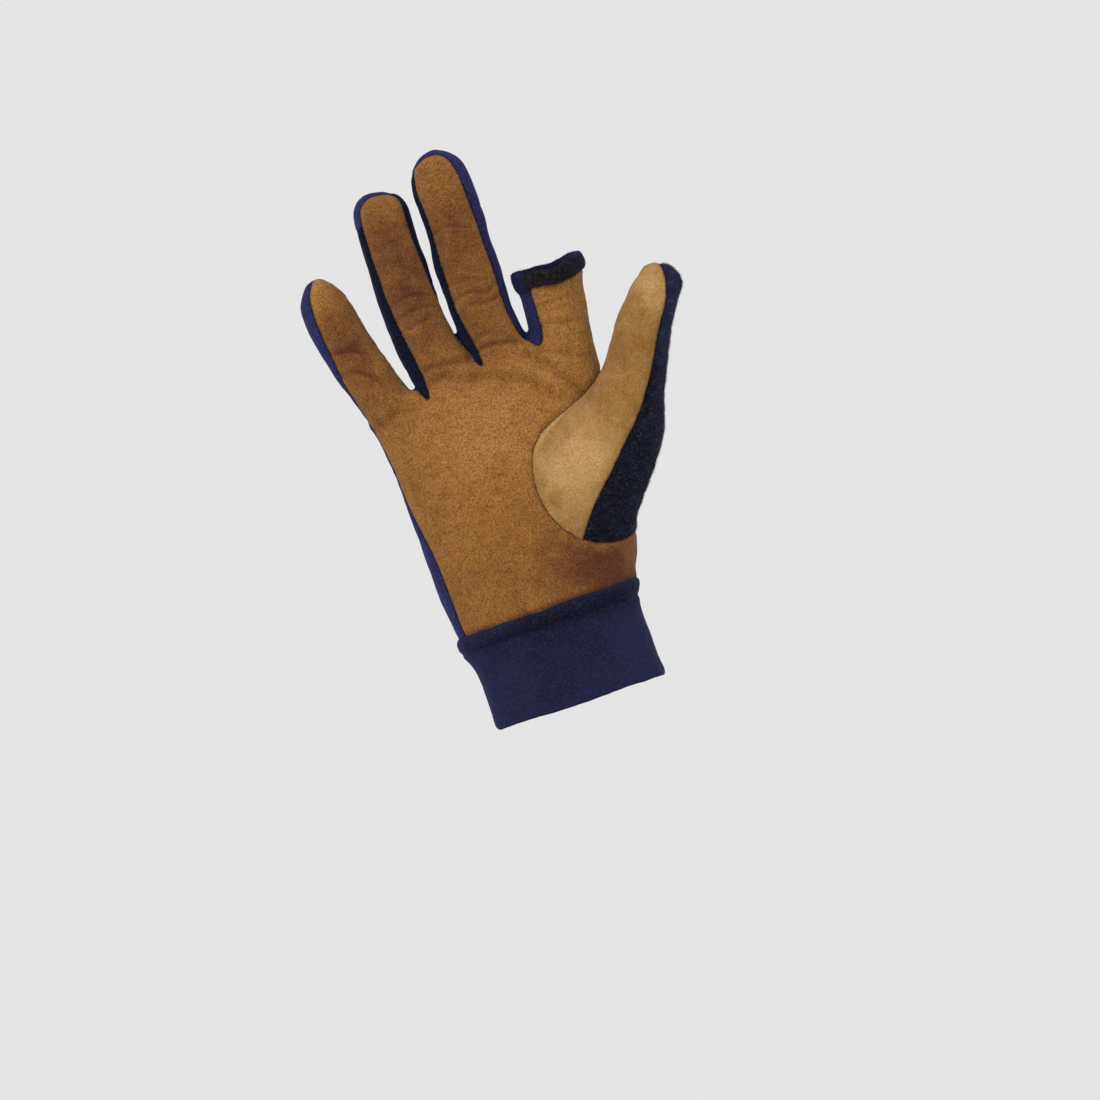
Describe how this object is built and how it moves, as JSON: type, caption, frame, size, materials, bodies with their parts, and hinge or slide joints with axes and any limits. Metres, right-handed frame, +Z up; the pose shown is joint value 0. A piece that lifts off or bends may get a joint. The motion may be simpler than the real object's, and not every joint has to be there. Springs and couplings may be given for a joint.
{
  "type": "winter glove",
  "caption": "Right-hand winter glove with a suede palm, a fleece back, a cuffed wrist and an open index fingertip with a soft hem.",
  "frame": {"origin": "middle of the wrist opening, in the plane of the cuff's bottom edge", "axes": "+Z up the hand to the fingertips, +X towards the thumb's side, and the palm faces -Y"},
  "size_m": [0.1531, 0.0597, 0.2343],
  "materials": {
    "palm_suede": "matte brushed suede, mottled tan and brown",
    "thumb_suede": "matte brushed suede, lighter tan",
    "back_fleece": "matte navy knit fleece",
    "cuff_fleece": "matte navy knit fleece, smooth outside",
    "fourchette_fleece": "matte dark navy fleece",
    "thumb_fleece": "fuzzy navy and black fleece",
    "band_fleece": "fuzzy charcoal fleece",
    "hem_fleece": "fuzzy navy fleece"
  },
  "bodies": {
    "root": {"palm": "palm_suede", "back": "back_fleece", "fourchette_pinky_ring": "fourchette_fleece", "fourchette_ring_middle": "fourchette_fleece", "fourchette_middle_index": "fourchette_fleece", "thumb_palm": "thumb_suede", "thumb_back": "thumb_fleece", "cuff": "cuff_fleece", "index_band": "band_fleece", "index_hem_roll": "hem_fleece"}
  },
  "joints": []
}
